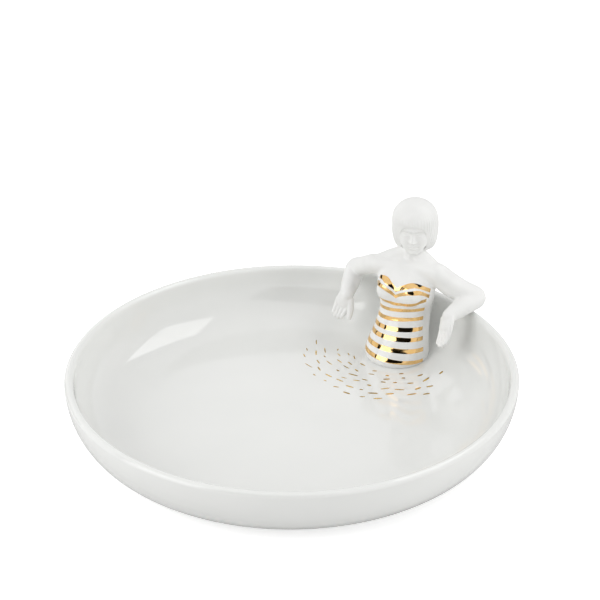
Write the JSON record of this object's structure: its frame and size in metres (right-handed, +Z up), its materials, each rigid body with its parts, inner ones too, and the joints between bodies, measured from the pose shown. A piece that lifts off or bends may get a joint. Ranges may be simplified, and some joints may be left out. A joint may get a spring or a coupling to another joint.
{
  "type": "porcelain bowl",
  "caption": "Shallow round porcelain bowl with steep sides; a small figure in a gold-banded suit leans on its wall with both arms over the rim.",
  "frame": {"origin": "centre of the foot ring on the surface that the bowl stands on", "axes": "+Z up along the bowl's axis; the figure looks along -Y, and its left is +X"},
  "size_m": [0.21, 0.21, 0.0835],
  "materials": {
    "porcelain_glaze": "clear gloss glaze over white porcelain",
    "porcelain_bisque": "satin white porcelain",
    "gold_lustre": "mirror-bright fired gold lustre"
  },
  "bodies": {
    "root": {"bowl": "porcelain_glaze", "figure_torso": "porcelain_bisque", "figure_head": "porcelain_bisque", "figure_left_arm": "porcelain_bisque", "figure_right_arm": "porcelain_bisque", "gold_neckline_band": "gold_lustre", "gold_bust_band": "gold_lustre", "gold_band_1": "gold_lustre", "gold_band_2": "gold_lustre", "gold_band_3": "gold_lustre", "gold_band_4": "gold_lustre", "gold_band_5": "gold_lustre", "gold_band_6": "gold_lustre", "gold_band_7": "gold_lustre"}
  },
  "joints": []
}
